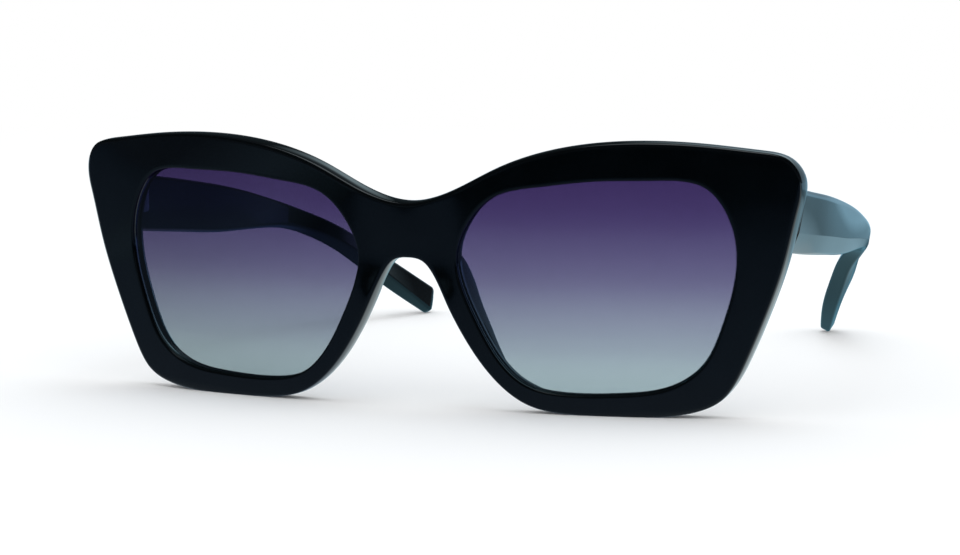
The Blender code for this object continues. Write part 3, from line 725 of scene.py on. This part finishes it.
# What glossy rays see of the floor, as light: bands that run from left to right, between
# two places in Y
BANDS_Y = (-0.30, 0.50)
BANDS = (
    (0.0, (0.006, 0.014, 0.02)), (0.06, (0.012, 0.026, 0.04)), (0.13, (0.07, 0.11, 0.17)),
    (0.26, (0.12, 0.18, 0.26)), (0.29, (0.15, 0.21, 0.29)), (0.32, (0.9, 1.05, 1.1)),
    (0.42, (1.0, 1.2, 1.25)), (0.47, (0.47, 0.76, 0.9)), (0.55, (0.4, 0.66, 0.8)),
    (0.60, (0.2, 0.35, 0.43)), (0.76, (0.23, 0.43, 0.55)), (0.82, (0.38, 0.7, 0.9)),
    (1.0, (0.4, 0.7, 0.9)),
)
# A glow on the left, between two places in X
LEFT_X = (-0.28, -0.08)
LEFT = ((0.0, (0.05, 0.07, 0.1)), (0.45, (0.12, 0.19, 0.26)), (0.7, (0.06, 0.1, 0.13)),
        (1.0, (0, 0, 0)))
# What the bands are dimmed by under the temples' tips, between two places in Y, and
# where in X the dimming ends
DIM_Y = (-0.01, 0.30)
DIM = ((0.0, (1, 1, 1)), (0.15, (0.32, 0.52, 0.58)), (0.85, (0.25, 0.3, 0.32)),
       (1.0, (1, 1, 1)))
DIM_X = (0.058, 0.075)

# What glossy rays see of the world, by the sine of the elevation
BACKDROP = (
    (0.0, (0.36, 0.62, 0.8)), (0.1, (0.3, 0.44, 0.54)), (0.28, (0.34, 0.46, 0.53)),
    (0.36, (0.8, 1.05, 1.15)), (0.52, (0.8, 1.05, 1.15)), (0.62, (0.1, 0.13, 0.15)),
    (1.0, (0.1, 0.12, 0.14)),
)
ROOM = ((0.0, (0.08, 0.10, 0.12)), (0.3, (0.02, 0.03, 0.035)), (0.8, (0.03, 0.04, 0.045)),
        (1.0, (0.1, 0.12, 0.14)))
# Directions over which the room turns into the backdrop, and where that ends on the right
BACKDROP_X, BACKDROP_Y, BACKDROP_END = (-0.30, -0.08), (-0.2, 0.2), (0.45, 0.6)

SOFTBOX_AT = (0.05, 0.05, 1.1)
SOFTBOX_SIZE = (0.6, 0.6)
SOFTBOX_POWER = 1.8
SOFTBOX_COLOUR = (0.85, 0.95, 1.0)


def far_white(nodes, plain):
    """The plain floor, fading into the white of the backdrop a good way off."""
    distance = nodes.add("ShaderNodeVectorMath", operation="LENGTH")
    nodes.link(nodes.place(), distance.inputs[0])
    white = nodes.add("ShaderNodeEmission")
    white.inputs["Color"].default_value = (1, 1, 1, 1)
    fade = nodes.add("ShaderNodeMixShader")
    nodes.link(nodes.spread(distance.outputs["Value"], FADE_FROM, FADE_TO, 0, 1), fade.inputs[0])
    nodes.link(plain.outputs[0], fade.inputs[1])
    nodes.link(white.outputs[0], fade.inputs[2])
    return fade.outputs[0]


def make_floor():
    """A pale floor.  Glossy rays see light and dark bands on it instead, which put the
    highlights on the polished frame."""
    half = FLOOR_HALF
    mesh = bpy.data.meshes.new("floor")
    mesh.from_pydata([(-half, -half, 0), (half, -half, 0), (half, half, 0), (-half, half, 0)], [],
                     [(0, 1, 2, 3)])
    floor = bpy.data.objects.new("floor", mesh)
    bpy.context.collection.objects.link(floor)
    material = bpy.data.materials.new("floor_pale")
    nodes = Nodes(material)
    split = nodes.add("ShaderNodeSeparateXYZ")
    nodes.link(nodes.place(), split.inputs[0])
    plain = nodes.add("ShaderNodeBsdfDiffuse")
    plain.inputs["Color"].default_value = FLOOR_COLOUR
    ahead = nodes.ramp(nodes.spread(split.outputs["Y"], *BANDS_Y, 0, 1), BANDS)
    aside = nodes.ramp(nodes.spread(split.outputs["X"], *LEFT_X, 0, 1), LEFT)
    brighter = nodes.add("ShaderNodeMix", data_type="RGBA", blend_type="LIGHTEN")
    brighter.inputs[0].default_value = 1.0
    dim = nodes.ramp(nodes.spread(split.outputs["Y"], *DIM_Y, 0, 1), DIM)
    below = nodes.add("ShaderNodeMix", data_type="RGBA", blend_type="MULTIPLY")
    nodes.link(nodes.spread(split.outputs["X"], *DIM_X, 1, 0), below.inputs[0])
    nodes.link(ahead, below.inputs[6])
    nodes.link(dim, below.inputs[7])
    nodes.link(below.outputs[2], brighter.inputs[6])
    nodes.link(aside, brighter.inputs[7])
    glow = nodes.add("ShaderNodeEmission")
    nodes.link(brighter.outputs[2], glow.inputs["Color"])
    ray = nodes.add("ShaderNodeLightPath")
    mix = nodes.add("ShaderNodeMixShader")
    nodes.link(ray.outputs["Is Glossy Ray"], mix.inputs[0])
    nodes.link(far_white(nodes, plain), mix.inputs[1])
    nodes.link(glow.outputs[0], mix.inputs[2])
    nodes.output(mix.outputs[0])
    mesh.materials.append(material)


def make_world():
    """White to the camera and to the floor.  Glossy rays see a dim room, with a pale blue
    backdrop behind that starts a little to the left of the object and ends on the right."""
    world = bpy.data.worlds.new("studio")
    bpy.context.scene.world = world
    nodes = Nodes(world)
    split = nodes.add("ShaderNodeSeparateXYZ")
    nodes.link(nodes.add("ShaderNodeTexCoord").outputs["Generated"], split.inputs[0])
    backdrop = nodes.ramp(split.outputs["Z"], BACKDROP)
    room = nodes.ramp(split.outputs["Z"], ROOM)
    rightward = nodes.spread(split.outputs["X"], *BACKDROP_X, 0, 1)
    behind = nodes.spread(split.outputs["Y"], *BACKDROP_Y, 0, 1)
    both = nodes.add("ShaderNodeMath", operation="MULTIPLY")
    nodes.link(rightward, both.inputs[0])
    nodes.link(behind, both.inputs[1])
    ends = nodes.add("ShaderNodeMath", operation="MULTIPLY")
    nodes.link(both.outputs[0], ends.inputs[0])
    nodes.link(nodes.spread(split.outputs["X"], *BACKDROP_END, 1, 0), ends.inputs[1])
    seen = nodes.add("ShaderNodeMix", data_type="RGBA")
    nodes.link(ends.outputs[0], seen.inputs[0])
    nodes.link(room, seen.inputs[6])
    nodes.link(backdrop, seen.inputs[7])
    ray = nodes.add("ShaderNodeLightPath")
    pick = nodes.add("ShaderNodeMix", data_type="RGBA")
    nodes.link(ray.outputs["Is Glossy Ray"], pick.inputs[0])
    pick.inputs[6].default_value = (1, 1, 1, 1)
    nodes.link(seen.outputs[2], pick.inputs[7])
    background = nodes.add("ShaderNodeBackground")
    nodes.link(pick.outputs[2], background.inputs["Color"])
    nodes.link(nodes.spread(ray.outputs["Is Diffuse Ray"], 0, 1, 1, FLOOR_LIGHT),
               background.inputs["Strength"])
    nodes.output(background.outputs[0], "ShaderNodeOutputWorld")


def make_softbox():
    """A soft light over the object, aimed at the origin."""
    data = bpy.data.lights.new("softbox_top", "AREA")
    data.shape = "RECTANGLE"
    data.size, data.size_y = SOFTBOX_SIZE
    data.energy = SOFTBOX_POWER
    data.color = SOFTBOX_COLOUR
    light = bpy.data.objects.new("softbox_top", data)
    light.location = SOFTBOX_AT
    light.rotation_euler = (-Vector(SOFTBOX_AT)).to_track_quat("-Z", "Y").to_euler()
    bpy.context.collection.objects.link(light)


def make_camera():
    data = bpy.data.cameras.new("camera")
    data.sensor_width = SENSOR_WIDTH
    data.lens = LENS_LENGTH
    data.clip_start = CLIP_START
    camera = bpy.data.objects.new("camera", data)
    camera.location = CAMERA_AT
    camera.rotation_euler = [radians(turn) for turn in CAMERA_TURN]
    bpy.context.collection.objects.link(camera)
    bpy.context.scene.camera = camera


def main():
    black = acetate("polished_acetate")
    tint = lens_tint("gradient_tint")
    satin = steel("satin_steel", *SATIN)
    bright = steel("bright_steel", *BRIGHT)
    make_front(black)
    for name, side in SIDES:
        make_lens("lens_" + name, side, tint)
        make_pad("nose_pad_" + name, side, black)
        make_temple("temple_" + name, side, black)
    for name, node in frame["nodes"].items():
        polished = "rivet" in name or "screw" in name
        if polished or "leaf" in name or "wire" in name:
            node.data.materials.clear()
            node.data.materials.append(bright if polished else satin)
    make_floor()
    make_world()
    make_softbox()
    make_camera()
    bpy.context.scene.view_settings.view_transform = "Standard"


main()
